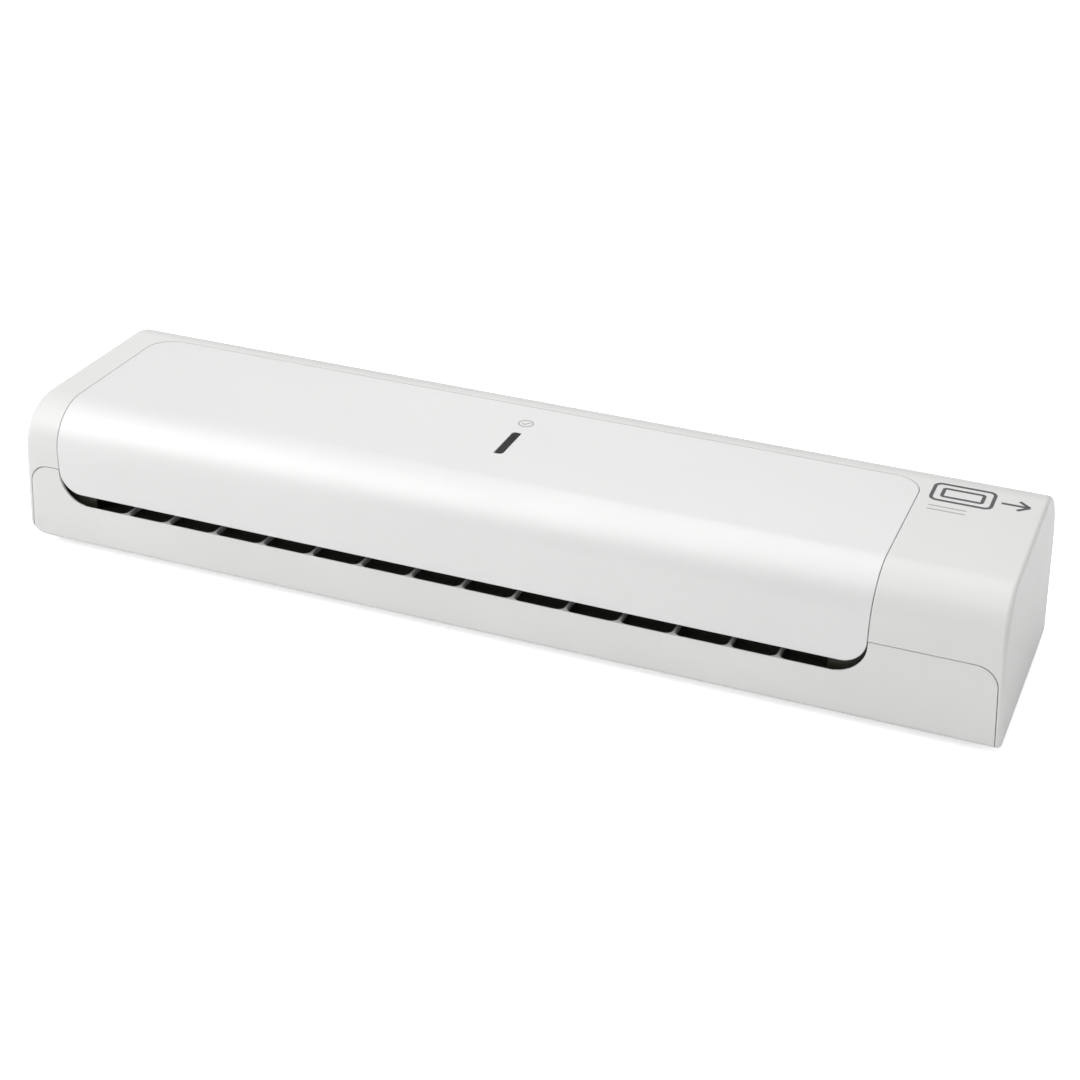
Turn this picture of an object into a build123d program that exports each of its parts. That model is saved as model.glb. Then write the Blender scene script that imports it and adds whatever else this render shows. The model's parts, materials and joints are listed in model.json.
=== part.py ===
"""Compact A4 pouch laminator: casing, hot-roller train, drive, release, switch, cord.

Drawn in millimetres about the centre of the casing's footprint on the table, +X along the length
towards the drive end, +Y from the feed slot towards the exit slot, +Z up. Exported with the origin
moved back to the middle of the whole depth, cord and plug included.
"""
from build123d import *
from math import acos, atan, atan2, cos, degrees, hypot, pi, radians, sin, sqrt, tan
import os

# ---------------------------------------------------------------- casing dimensions
MIDDLE_Y = 20.73          # middle of the whole depth, from the lip to the plug
LENGTH = 320.6            # across the end faces at their lowest edge
END_SLOPE = 0.0693        # inward slope of an end face per millimetre of height
FOOT_HEIGHT = 2.5         # gap under the casing
FRONT_Y = -40.0           # front face at its lowest edge
FRONT_SLOPE = -0.0733     # the front face leans outward as it rises
REAR_Y = 38.2             # rear face at its lowest edge
REAR_SLOPE = 0.1273
TOP_Z = 51.53             # top face above the origin
TOP_SLOPE = 0.055         # the top face rises towards the rear
FRONT_RADIUS = 15.0
REAR_RADIUS = 18.0
SKIRT_RADIUS = 2.0
END_EDGE_RADIUS = 1.4
LEFT_BASE_RADIUS = 9.5    # lower left corner, seen from the front
ARC_OVERSHOOT = 0.3       # how far that corner's arc starts outside the casing's faces
WALL = 2.2
END_WALL = 0.8            # an end wall's thickness as a fraction of the other walls'
SEAM = 0.2                # visible joint line between two casing parts
SKIRT_X = 158.5           # half length of the lower housing at its lowest edge
FRONT_SEAM_Z = 28.8
REAR_SEAM_Z = 24.2
SEAM_CORNER = 7.0

# ---------------------------------------------------------------- top panel and slots
PANEL_X = (-146.0, 119.6)
PANEL_REAR_Y = 22.3
PANEL_REAR_CORNER = 9.0
PANEL_LOW_Z = 20.9
PANEL_LOW_CORNER = 7.5
MOUTH_Z = 17.1            # lower lip of the feed slot
MOUTH_CORNER = 10.0
TRAIN_X = -13.3           # middle of the rollers, ribs and slots
RIB_X = -14.2             # middle of the ribs
RIB_PITCH = 17.0
RIB_END_PITCH = 14.7
RIB_WIDTH = 1.0
POCKET_Y = (-40.75, -30.4)
POCKET_CORNER = 2.2
SILL = 1.4                # thickness of the ribbed sill
SILL_Y = (-41.2, -29.2)
SILL_HALF = 125.5
TRAY_HALF = 127.0         # half length of the feed guide's front tray
TRAY_Z = 14.5
TRAY_FRONT_Y = -40.6
GUIDE_HALF = 121.0        # half length of the paper guides
EXIT_HALF = 124.0
EXIT_Z = 19.8
LENS_X = -5.6
LENS_Y = (-13.2, 3.0)
LENS_WIDTH = 2.8

# ---------------------------------------------------------------- hot-roller train
ROLLER_Y = -2.0
LOWER_Z = 14.0
MODULE = 1.25
ROLLER_TEETH = 12
IDLER_TEETH = 16
PINION_TEETH = 10
UPPER_Z = LOWER_Z + MODULE * ROLLER_TEETH
ROLLER_RADIUS = 7.45
CORE_RADIUS = 4.0
JOURNAL_RADIUS = 3.0
RUNNING_GAP = 0.05
SLEEVE_HALF = 115.0
FRAME_HALF = 122.5        # from the middle of the train to the middle of a side frame
FRAME_THICKNESS = 1.5
IDLER_Z = 16.4
GEAR_X = (112.5, 118.5)
SHOE_GAP = 0.5
SHOE_WALL = 1.2
FLOOR_Z = FOOT_HEIGHT + WALL
TAB_Z = UPPER_Z + ROLLER_RADIUS + SHOE_GAP + 0.2

# ---------------------------------------------------------------- release mechanism
RELEASE_Y = 18.0
RELEASE_Z = 37.0
RELEASE_RADIUS = 2.5
LEVER_X = -143.0
EAR_Z = (33.5, 35.5)
EAR_END_Y = 13.4
TOE_GAP = 0.1

# ---------------------------------------------------------------- drive and electrics
BRACKET_X = (121.0, 122.2)
MOTOR_Y = 4.0
MOTOR_Z = 27.0
STANDOFFS = [(-15.0, 17.6), (-15.0, 38.0), (25.5, 39.5)]
SWITCH_X = 136.0
SWITCH_Z = 13.6
ROCKER_TIP = 8.0          # degrees from level at each stop
PIVOT_RADIUS = 1.2
CORD_X = 119.0
CORD_Z = 10.5
CORD_RADIUS = 2.7
HANK_X = (-30.0, 66.0)    # ends of the tied hank of cord behind the machine
HANK_Y = (60.0, 72.0)     # its near and far strands
HANK_Z = CORD_RADIUS + 0.8
HANK_LAYER = 6.3
BEND_RADIUS = 5.8
PLUG_X = -88.0
PLUG_Y = 71.0
PLUG_Z = 4.65
PIN_RADIUS = 2.0
PIN_SPACING = 18.6
COVER_SCREWS = [(-151.0, -33.5), (151.0, -33.5), (-151.0, 31.0), (151.0, 31.0)]
FEET = [(-138.0, -28.0), (138.0, -28.0), (-138.0, 26.0), (138.0, 26.0)]
BOARD = (118.0, 146.0, -36.0, -18.5)
BOARD_Z = (8.2, 9.8)

FRAME_X = {"left": TRAIN_X - FRAME_HALF, "right": TRAIN_X + FRAME_HALF}
INWARD = {"left": 1.0, "right": -1.0}
IDLER_Y = ROLLER_Y + sqrt((MODULE * (ROLLER_TEETH + IDLER_TEETH) / 2) ** 2 - (IDLER_Z - LOWER_Z) ** 2)
PINION_Y = IDLER_Y
PINION_Z = IDLER_Z + MODULE * (IDLER_TEETH + PINION_TEETH) / 2


# ================================================================ small builders
def box(x0, x1, y0, y1, z0, z1):
    """Block between two corners."""
    low_x, low_y, low_z = min(x0, x1), min(y0, y1), min(z0, z1)
    return Pos(low_x, low_y, low_z) * Box(abs(x1 - x0), abs(y1 - y0), abs(z1 - z0), align=Align.MIN)


def rod_x(x0, x1, y, z, radius):
    """Cylinder along X."""
    cylinder = Cylinder(radius, abs(x1 - x0), align=(Align.CENTER, Align.CENTER, Align.MIN))
    return Pos(min(x0, x1), y, z) * Rot(0, 90, 0) * cylinder


def rod_y(y0, y1, x, z, radius):
    """Cylinder along Y."""
    cylinder = Cylinder(radius, abs(y1 - y0), align=(Align.CENTER, Align.CENTER, Align.MIN))
    return Pos(x, max(y0, y1), z) * Rot(90, 0, 0) * cylinder


def rod_z(z0, z1, x, y, radius):
    """Cylinder along Z."""
    cylinder = Cylinder(radius, abs(z1 - z0), align=(Align.CENTER, Align.CENTER, Align.MIN))
    return Pos(x, y, min(z0, z1)) * cylinder


def prism_x(face, x0, x1):
    """Face drawn as (Y, Z), swept from x0 to x1."""
    return extrude(Plane.YZ.offset(x0) * face, x1 - x0)


def prism_y(face, y0, y1):
    """Face drawn as (X, Z), swept from y0 to y1."""
    return extrude(Plane.XZ.offset(-y1) * face, y1 - y0)


def prism_z(face, z0, z1):
    """Face drawn as (X, Y), swept from z0 to z1."""
    return extrude(Pos(0, 0, z0) * face, z1 - z0)


def outline(points):
    """Closed straight-edged face."""
    return make_face(Polyline(*points, close=True))


def rounded(face, corners, radius):
    """Rounds the corners of a face that lie nearest to the given points."""
    picked = [min(face.vertices(), key=lambda v: hypot(v.X - x, v.Y - y)) for x, y in corners]
    return fillet(picked, radius)


def group(*solids):
    """Separate solids that share one node."""
    return Compound(children=[s for part in solids for s in part.solids()])


def crossing(line_a, line_b):
    """Where two lines, each given as a point and a direction, meet."""
    (px, py), (dx, dy) = line_a
    (qx, qy), (ex, ey) = line_b
    reach = ((qx - px) * ey - (qy - py) * ex) / (dx * ey - dy * ex)
    return px + dx * reach, py + dy * reach


# ================================================================ casing envelope
def casing_face(inset, floor):
    """Side outline of the casing, moved inward by inset, with its bottom at floor."""
    front = ((FRONT_Y + inset * hypot(1, FRONT_SLOPE), FOOT_HEIGHT), (FRONT_SLOPE, 1.0))
    rear = ((REAR_Y - inset * hypot(1, REAR_SLOPE), FOOT_HEIGHT), (REAR_SLOPE, 1.0))
    top = ((0.0, TOP_Z - inset * hypot(1, TOP_SLOPE)), (1.0, TOP_SLOPE))
    bottom = ((0.0, floor), (1.0, 0.0))
    corners = [crossing(front, bottom), crossing(rear, bottom), crossing(rear, top), crossing(front, top)]
    face = rounded(outline(corners), [corners[3]], FRONT_RADIUS - inset)
    face = rounded(face, [corners[2]], REAR_RADIUS - inset)
    if inset < SKIRT_RADIUS and floor > 0:
        face = rounded(face, corners[:2], SKIRT_RADIUS - inset)
    return face


def end_faces(inset):
    """Front outline that carries the sloping ends."""
    low, high = -5.0, 60.0
    reach = [LENGTH / 2 - inset * END_WALL - END_SLOPE * (z - FOOT_HEIGHT) for z in (low, high)]
    return outline([(-reach[0], low), (reach[0], low), (reach[1], high), (-reach[1], high)])


def casing(inset=0.0, floor=None):
    """Solid body of the casing, moved inward by inset."""
    floor = FOOT_HEIGHT + inset if floor is None else floor
    return prism_x(casing_face(inset, floor), -170, 170) & prism_y(end_faces(inset), -60, 60)


def envelope():
    """Outer body with its end edges eased."""
    body = casing()
    ends = [body.faces().sort_by(Axis.X)[i] for i in (0, -1)]
    return fillet([edge for face in ends for edge in face.edges()], END_EDGE_RADIUS)


def base_corner(inset):
    """Space left by a rounded lower corner at the left end."""
    x, low = inset * END_WALL - LENGTH / 2 - ARC_OVERSHOOT, FOOT_HEIGHT + inset - ARC_OVERSHOOT
    face = outline([(x, low), (170, low), (170, 60), (x, 60)])
    return prism_y(rounded(face, [(x, low)], LEFT_BASE_RADIUS - inset), -60, 60)


OUTER = envelope() & base_corner(0.0)
INNER = casing(WALL) & base_corner(WALL)
INNER_OPEN = casing(WALL, floor=-5.0)


def skirt_region(top_z, shrink, y0, y1):
    """Space of the lower housing between y0 and y1, below top_z, with rounded shoulders."""
    low, high = 0.0, top_z - shrink
    reach = [SKIRT_X - shrink - END_SLOPE * (z - FOOT_HEIGHT) for z in (low, high)]
    corners = [(-reach[1], high), (reach[1], high)]
    face = outline([(-reach[0], low), (reach[0], low), (reach[1], high), (-reach[1], high)])
    return prism_y(rounded(face, corners, SEAM_CORNER), y0, y1)


def panel_region(grow):
    """Space of the top panel, made larger all round by grow."""
    x0, x1 = PANEL_X[0] - grow, PANEL_X[1] + grow
    rear, low = PANEL_REAR_Y + grow, PANEL_LOW_Z - grow
    plan = outline([(x0, -60), (x1, -60), (x1, rear), (x0, rear)])
    plan = rounded(plan, [(x0, rear), (x1, rear)], PANEL_REAR_CORNER + grow)
    front = outline([(x0, low), (x1, low), (x1, 70), (x0, 70)])
    front = rounded(front, [(x0, low), (x1, low)], PANEL_LOW_CORNER + grow)
    return prism_z(plan, 0, 70) & prism_y(front, -60, 60)


def rib_positions():
    """X of each feed rib: twelve at the full pitch and one closer rib at each end."""
    inner = [RIB_X + RIB_PITCH * (i - 5.5) for i in range(12)]
    return [inner[0] - RIB_END_PITCH, *inner, inner[-1] + RIB_END_PITCH]


def rear_wall_y(z):
    """Y of the flat part of the outer rear face at height z."""
    return REAR_Y + REAR_SLOPE * (z - FOOT_HEIGHT)


# ================================================================ casing parts
def make_upper_cover():
    shell = OUTER - INNER_OPEN
    shell -= skirt_region(FRONT_SEAM_Z, -SEAM / 2, -60, 0)
    shell -= skirt_region(REAR_SEAM_Z, -SEAM / 2, 0, 60)
    ledge = casing(WALL - 0.3, floor=0) - casing(WALL + 2.0, floor=0)
    ledge &= panel_region(2.5) & box(-170, 170, -60, 60, 31, 70)
    ledge -= panel_region(-5.0)
    shell += ledge
    shell -= panel_region(SEAM / 2) - casing(WALL + 0.15, floor=0)
    boss_top = 50
    for x, y in COVER_SCREWS:
        boss = rod_z(FLOOR_Z + 0.2, boss_top, x, y, 3.25) & casing(0.8)
        shell += boss
        shell -= rod_z(0, 14, x, y, 1.25)
    vent_pitch, vent_count = 7.0, 17
    for i in range(vent_count):
        x = TRAIN_X + vent_pitch * (i - (vent_count - 1) / 2)
        shell -= box(x - 1.2, x + 1.2, 37, 46, 30, 38)
    shell -= box(LEVER_X - 2.6, LEVER_X + 2.6, 36, 46, 25.6, 40.4)
    return shell


def make_top_panel():
    panel = (OUTER - INNER) & panel_region(-SEAM / 2)
    for x in (LENS_X - 8, LENS_X + 8):
        post = rod_z(45.6, 50, x, (LENS_Y[0] + LENS_Y[1]) / 2, 1.8) & casing(0.8)
        panel += post
    panel -= lens_body(0.05, 40)
    return panel


def lens_body(grow, depth_z):
    """Bar of the indicator window, down to depth_z."""
    x0, x1 = LENS_X - LENS_WIDTH / 2 - grow, LENS_X + LENS_WIDTH / 2 + grow
    y0, y1 = LENS_Y[0] - grow, LENS_Y[1] + grow
    face = outline([(x0, y0), (x1, y0), (x1, y1), (x0, y1)])
    return prism_z(rounded(face, [(x0, y1), (x1, y0)], 1.3), depth_z, 60)


def make_indicator_lens():
    bar = lens_body(0.0, 47.6) & casing(0.25)
    flange = box(LENS_X - 2.6, LENS_X + 2.6, LENS_Y[0] - 1.4, LENS_Y[1] + 1.4, 45, 60)
    flange &= casing(WALL + 0.05) - casing(WALL + 1.0)
    return bar + flange


def mouth_cut(grow, front_y):
    """Opening of the feed slot in the front wall, made larger all round by grow."""
    x0, x1, low = PANEL_X[0] - SEAM - grow, PANEL_X[1] + SEAM + grow, MOUTH_Z - grow
    face = outline([(x0, low), (x1, low), (x1, 70), (x0, 70)])
    return prism_y(rounded(face, [(x0, low), (x1, low)], MOUTH_CORNER + grow), front_y, -20)


def sill_pockets():
    """Air pockets between the feed ribs."""
    ribs = rib_positions()
    starts = [TRAIN_X - SILL_HALF - 0.5] + [x + RIB_WIDTH / 2 for x in ribs]
    stops = [x - RIB_WIDTH / 2 for x in ribs] + [TRAIN_X + SILL_HALF + 0.5]
    pockets = []
    for x0, x1 in zip(starts, stops):
        y0, y1 = POCKET_Y
        face = outline([(x0, y0), (x1, y0), (x1, y1), (x0, y1)])
        face = rounded(face, [(x0, y0), (x1, y0)], POCKET_CORNER)
        pockets.append(prism_z(face, MOUTH_Z - SILL - 0.5, MOUTH_Z + 1))
    return pockets


def make_lower_housing():
    shell = OUTER - INNER
    region = skirt_region(FRONT_SEAM_Z, SEAM / 2, -60, 0) + skirt_region(REAR_SEAM_Z, SEAM / 2, 0, 60)
    shell &= region
    shell -= mouth_cut(0.0, -60)
    shell -= mouth_cut(1.5, TRAY_FRONT_Y)
    tray = TRAY_HALF + 0.2
    shell -= box(TRAIN_X - tray, TRAIN_X + tray, TRAY_FRONT_Y, -20, TRAY_Z - 0.2, MOUTH_Z - SILL)
    shell += box(TRAIN_X - SILL_HALF, TRAIN_X + SILL_HALF, *SILL_Y, MOUTH_Z - SILL, MOUTH_Z) & OUTER
    for pocket in sill_pockets():
        shell -= pocket
    shell -= box(TRAIN_X - EXIT_HALF, TRAIN_X + EXIT_HALF, 20, 60, EXIT_Z, 40)
    for side in (-1, 1):
        shell += box(side * 155.0, side * 156.4, -30, 27, FLOOR_Z - 1, 14)
    shell += box(TRAIN_X - 112, TRAIN_X + 112, -34.6, -33.0, FLOOR_Z - 1, 14.4)
    shell += box(TRAIN_X - 112, TRAIN_X + 112, 32.0, 33.6, FLOOR_Z - 1, 19.7)
    for x, y in frame_screw_places():
        shell += rod_z(FLOOR_Z - 1, 8.7, x, y, 3.4)
        shell -= rod_z(5.2, 9, x, y, 1.25)
    for x, y in board_screw_places():
        shell += rod_z(FLOOR_Z - 1, BOARD_Z[0], x, y, 3.0)
        shell -= rod_z(4.2, 9, x, y, 1.0)
    for x, y in COVER_SCREWS:
        shell -= rod_z(0, 9, x, y, 1.7)
        shell -= rod_z(0, 3.5, x, y, 3.1)
    for x, y in FEET:
        shell -= rod_z(0, 3.3, x, y, 6.1)
    vent_pitch, vent_count = 12.0, 17
    for i in range(vent_count):
        x = TRAIN_X + vent_pitch * (i - (vent_count - 1) / 2)
        for y0, y1 in ((-28, -12), (10, 26)):
            shell -= box(x - 1.4, x + 1.4, y0, y1, 0, FLOOR_Z + 0.5)
    shell -= switch_place() * box(-9.7, 9.7, -6.5, 6.5, -6, 3)
    shell -= rod_y(20, 60, CORD_X, CORD_Z, 4.3)
    return shell


def frame_screw_places():
    return [(FRAME_X[s] + INWARD[s] * 7.0, y) for s in ("left", "right") for y in (-17.0, 23.0)]


def board_screw_places():
    return [(121.5, -32.5), (142.5, -22.0)]


# ================================================================ paper path
def make_lower_feed_guide():
    """Ramp behind the ribs, a tray under them and an upright cheek at each end of the slot."""
    tray_top = MOUTH_Z - SILL - 0.1
    section = outline([
        (-40.0, TRAY_Z), (-27.6, TRAY_Z), (-26.4, 16.1), (-10.4, 17.6),
        (-10.4, 18.8), (-27.4, 17.4), (-29.0, MOUTH_Z - 0.3), (-29.0, tray_top), (-40.0, tray_top),
    ])
    guide = prism_x(section, TRAIN_X - GUIDE_HALF, TRAIN_X + GUIDE_HALF)
    guide += box(TRAIN_X - TRAY_HALF, TRAIN_X + TRAY_HALF, TRAY_FRONT_Y + 0.05, -29.0, TRAY_Z, tray_top)
    for side in (-1, 1):
        guide += box(TRAIN_X + side * 121.6, TRAIN_X + side * 137.5, -38.3, -37.1, TRAY_Z, 28.4)
    return guide


def make_upper_feed_guide():
    section = outline([
        (-38.6, 22.0), (-27.0, 22.3), (-12.0, 23.2), (-10.6, 25.4),
        (-11.8, 25.4), (-13.0, 24.4), (-27.0, 23.4), (-37.4, 23.0), (-37.4, 29.0), (-38.6, 29.0),
    ])
    guide = prism_x(section, TRAIN_X - GUIDE_HALF, TRAIN_X + GUIDE_HALF)
    for offset in (-105, -35, 35, 105):
        x = TRAIN_X + offset
        guide += rod_z(23, 46, x, -24, 2.5) & casing(WALL + 2.6)
        guide -= rod_z(38, 50, x, -24, 1.0)
    return guide


def make_lower_exit_guide():
    section = outline([(6.8, 18.6), (8.4, 19.9), (39.6, 19.9), (39.6, 21.0), (8.0, 21.0), (6.2, 19.4)])
    return prism_x(section, TRAIN_X - GUIDE_HALF, TRAIN_X + GUIDE_HALF)


def make_upper_exit_guide():
    section = outline([(7.6, 25.0), (9.0, 22.8), (38.6, 23.2), (38.6, 27.4), (37.4, 27.4), (37.4, 24.4),
                       (9.8, 24.0), (8.8, 25.4)])
    guide = prism_x(section, TRAIN_X - GUIDE_HALF, TRAIN_X + GUIDE_HALF)
    for offset in (-105, -35, 35, 105):
        guide += rod_z(24, 46, TRAIN_X + offset, 29, 2.5) & casing(WALL + 0.6)
    return guide


# ================================================================ side frames and bearings
def make_side_frame(side):
    x, inward = FRAME_X[side], INWARD[side]
    x0, x1 = x - FRAME_THICKNESS / 2, x + FRAME_THICKNESS / 2
    face = outline([(-22, 8.7), (28, 8.7), (28, 44), (-22, 44)])
    face = rounded(face, [(-22, 44), (28, 44)], 5)
    frame = prism_x(face, x0, x1)
    for y0, y1 in ((-22, -12), (18, 28)):
        frame += box(x, x + inward * 12.0, y0, y1, 8.7, 10.2)
    frame -= box(x - 3, x + 3, ROLLER_Y - 5, ROLLER_Y + 5, 21.2, 43.0)
    frame += box(x - 3.5, x + 3.5, ROLLER_Y - 5, ROLLER_Y + 5, 43.0, 44.5)
    frame -= rod_x(x - 3, x + 3, ROLLER_Y, LOWER_Z, 4.5)
    frame -= rod_x(x - 3, x + 3, RELEASE_Y, RELEASE_Z, RELEASE_RADIUS + 0.1)
    for y0 in (-17.5, 8.5):
        frame -= box(x - 3, x + 3, y0, y0 + 5, 12.6, 14.6)
    for sx, sy in frame_screw_places():
        frame -= rod_z(8, 11, sx, sy, 1.7)
    if side == "right":
        frame -= rod_x(x - 3, x + 3, IDLER_Y, IDLER_Z, 2.0)
        for y, z in STANDOFFS:
            frame -= rod_x(x - 3, x + 3, y, z, 1.25)
    return frame


def make_lower_bushes():
    bushes = []
    for side, x in FRAME_X.items():
        inward = INWARD[side]
        sleeve = rod_x(x - inward * 1.6, x + inward * 0.75, ROLLER_Y, LOWER_Z, 4.5)
        flange = rod_x(x + inward * 0.75, x + inward * 1.75, ROLLER_Y, LOWER_Z, 6.0)
        bore = rod_x(x - 5, x + 5, ROLLER_Y, LOWER_Z, JOURNAL_RADIUS + RUNNING_GAP)
        bushes.append(sleeve + flange - bore)
    return group(*bushes)


def make_bearing_block(side):
    """Sliding block: a neck in the frame's slot, cheeks on both sides and an ear for the release toe."""
    x, inward = FRAME_X[side], INWARD[side]
    neck = box(x - 1.0, x + 1.0, ROLLER_Y - 4.9, ROLLER_Y + 4.9, 23, 36)
    block = neck
    for cheek in (-1, 1):
        block += box(x + cheek * 0.85, x + cheek * 2.5, ROLLER_Y - 6.5, ROLLER_Y + 6.5, 23, 36)
    block += box(x + inward * 0.85, x + inward * 4.6, ROLLER_Y + 3, EAR_END_Y, *EAR_Z)
    block += box(x + inward * 2.0, x + inward * 6.4, ROLLER_Y - 4, ROLLER_Y + 4, 32.6, 35.8)
    block += box(x + inward * 3.6, x + inward * 6.4, ROLLER_Y - 4, ROLLER_Y + 4, 35.8, TAB_Z)
    return block - rod_x(x - 8, x + 8, ROLLER_Y, UPPER_Z, JOURNAL_RADIUS + RUNNING_GAP)


def make_pressure_springs():
    wire, mean = 0.5, 2.35
    low, high = 36.1 + wire, 42.9 - wire
    springs = []
    for x in FRAME_X.values():
        path = Helix(pitch=1.9, height=high - low, radius=mean)
        start = Plane(origin=path @ 0, z_dir=path % 0)
        springs.append(Pos(x, ROLLER_Y, low) * sweep(start * Circle(wire), path=path))
    return group(*springs)


# ================================================================ rollers and heaters
def make_roller_shaft(z):
    """Steel shaft with a full core under the sleeve and a journal at each end."""
    core = rod_x(TRAIN_X - SLEEVE_HALF, TRAIN_X + SLEEVE_HALF, ROLLER_Y, z, CORE_RADIUS)
    return core + rod_x(TRAIN_X - 128.4, 120.2, ROLLER_Y, z, JOURNAL_RADIUS)


def make_roller_sleeve(z):
    """Silicone rubber tube on the core."""
    tube = rod_x(TRAIN_X - SLEEVE_HALF, TRAIN_X + SLEEVE_HALF, ROLLER_Y, z, ROLLER_RADIUS)
    return tube - rod_x(-170, 170, ROLLER_Y, z, CORE_RADIUS)


def make_shaft_clips(z, left_x):
    """Retaining clips at both ends of a roller shaft."""
    clips = []
    for x in (left_x, GEAR_X[1] + 0.1):
        ring = rod_x(x, x + 0.8, ROLLER_Y, z, 4.6) - rod_x(x - 1, x + 2, ROLLER_Y, z, JOURNAL_RADIUS)
        clips.append(ring - box(x - 1, x + 2, ROLLER_Y - 1.6, ROLLER_Y + 1.6, z - 6, z - 2.4))
    return group(*clips)


def shoe_arc(z, upward):
    """Half-round channel that wraps the outer half of a roller."""
    inner = ROLLER_RADIUS + SHOE_GAP
    half = 113.0
    x0, x1 = TRAIN_X - half, TRAIN_X + half
    arc = rod_x(x0, x1, ROLLER_Y, z, inner + SHOE_WALL) - rod_x(x0 - 1, x1 + 1, ROLLER_Y, z, inner)
    keep = 3.0
    low, high = (z + keep, z + 20) if upward else (z - 20, z - keep)
    return arc & box(x0 - 1, x1 + 1, ROLLER_Y - 20, ROLLER_Y + 20, low, high)


def make_upper_heater_shoe():
    """Aluminium shoe over the upper roller, hung on the bearing blocks by its top pad."""
    x0, x1 = TRAIN_X - 113, TRAIN_X + 113
    reach = FRAME_HALF - 3.7
    top = UPPER_Z + ROLLER_RADIUS + SHOE_GAP
    pad = box(x0, x1, ROLLER_Y - 5, ROLLER_Y + 5, top - 1.2, top + 1.7)
    pad -= rod_x(x0 - 1, x1 + 1, ROLLER_Y, UPPER_Z, ROLLER_RADIUS + SHOE_GAP)
    tabs = box(TRAIN_X - reach, TRAIN_X + reach, ROLLER_Y - 3, ROLLER_Y + 3, TAB_Z, top + 1.7)
    return shoe_arc(UPPER_Z, True) + pad + tabs


def make_lower_heater_shoe():
    """Aluminium shoe under the lower roller, with wings that tab into the side frames."""
    shoe = shoe_arc(LOWER_Z, False)
    x0, x1 = TRAIN_X - 113, TRAIN_X + 113
    reach = FRAME_HALF + 2.0
    for y0, y1, t0, t1 in ((-20.0, -9.2, -17.2, -12.8), (5.2, 16.0, 8.8, 13.2)):
        wing = box(x0, x1, y0, y1, 13.0, 14.2)
        wing += box(TRAIN_X - reach, TRAIN_X + reach, t0, t1, 13.0, 14.2)
        shoe += wing
    for y0, y1 in ((-10.6, -9.2), (5.2, 6.6)):
        shoe += box(x0, x1, y0, y1, 10.0, 13.0)
    clear = rod_x(x0 - 20, x1 + 20, ROLLER_Y, LOWER_Z, ROLLER_RADIUS + SHOE_GAP)
    return shoe - clear


def make_upper_heater_strip():
    top = UPPER_Z + ROLLER_RADIUS + SHOE_GAP + 1.7
    return box(TRAIN_X - 92, TRAIN_X + 72, ROLLER_Y - 4.5, ROLLER_Y + 4.5, top, top + 1.6)


def make_lower_heater_strips():
    strips = [box(TRAIN_X - 96, TRAIN_X + 96, y, y + 7.5, 11.2, 13.0) for y in (-19.4, 7.4)]
    return group(*strips)


def make_thermostat():
    """Snap-action thermostat on the upper shoe, with its two blades."""
    top = UPPER_Z + ROLLER_RADIUS + SHOE_GAP + 1.7
    x = TRAIN_X + 88
    body = rod_z(top, top + 3.2, x, ROLLER_Y, 4.6)
    for side in (-1, 1):
        body += box(x + side * 3.5, x + side * 8.5, ROLLER_Y - 1.4, ROLLER_Y + 1.4, top + 1.8, top + 2.6)
    return body


def make_thermal_fuse():
    """One-shot fuse in its clip, in the other end of the upper shoe."""
    top = UPPER_Z + ROLLER_RADIUS + SHOE_GAP + 1.7
    x = TRAIN_X - 108
    body = rod_x(x, x + 11, ROLLER_Y, top + 1.8, 1.8)
    body += rod_x(x - 3, x + 14, ROLLER_Y, top + 1.8, 0.5)
    return body + box(x + 2, x + 9, ROLLER_Y - 2.4, ROLLER_Y + 2.4, top, top + 1.0)


# ================================================================ gears
def tooth_phase(phase, teeth, next_teeth, direction):
    """Angle of a tooth of the next gear that meshes with this one along direction, in radians."""
    pitch, next_pitch = 2 * pi / teeth, 2 * pi / next_teeth
    return direction + pi - next_pitch * (0.5 - (direction - phase) / pitch)


def gear_face(teeth, phase):
    """Involute gear outline about the origin, with a tooth centred on phase."""
    pressure, slack = radians(25), 0.12
    pitch_r = MODULE * teeth / 2
    base_r = pitch_r * cos(pressure)
    tip_r, root_r = pitch_r + 0.95 * MODULE, pitch_r - 1.2 * MODULE
    half_at_pitch = pi / (2 * teeth) - slack / (2 * pitch_r)

    def half_angle(radius):
        slope = acos(min(1.0, base_r / radius))
        return half_at_pitch + tan(pressure) - pressure - (tan(slope) - slope)

    def at(radius, angle):
        return radius * cos(angle), radius * sin(angle)

    start_r = max(base_r, root_r)
    steps = [start_r + (tip_r - start_r) * i / 4 for i in range(5)]
    edges = []
    for k in range(teeth):
        middle = phase + 2 * pi * k / teeth
        rise = [at(r, middle - half_angle(r)) for r in steps]
        fall = [at(r, middle + half_angle(r)) for r in reversed(steps)]
        foot_in = at(root_r, middle - half_angle(start_r))
        foot_out = at(root_r, middle + half_angle(start_r))
        next_foot = at(root_r, middle + 2 * pi / teeth - half_angle(start_r))
        edges += [Line(foot_in, rise[0]), Spline(*rise), Line(rise[-1], fall[0]), Spline(*fall)]
        edges += [Line(fall[-1], foot_out), Line(foot_out, next_foot)]
    return make_face(edges)


def gear(teeth, phase, y, z, bore):
    """Spur gear with a thinned web, in the gear plane."""
    blank = Pos(0, y, z) * prism_x(gear_face(teeth, phase), *GEAR_X)
    rim = MODULE * teeth / 2 - 1.2 * MODULE - 1.4
    if rim > bore + 3.5:
        for x0, x1 in ((GEAR_X[0] - 1, GEAR_X[0] + 1.2), (GEAR_X[1] - 1.2, GEAR_X[1] + 1)):
            blank -= rod_x(x0, x1, y, z, rim) - rod_x(x0 - 1, x1 + 1, y, z, bore + 1.8)
    return blank - rod_x(GEAR_X[0] - 1, GEAR_X[1] + 1, y, z, bore)


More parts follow.
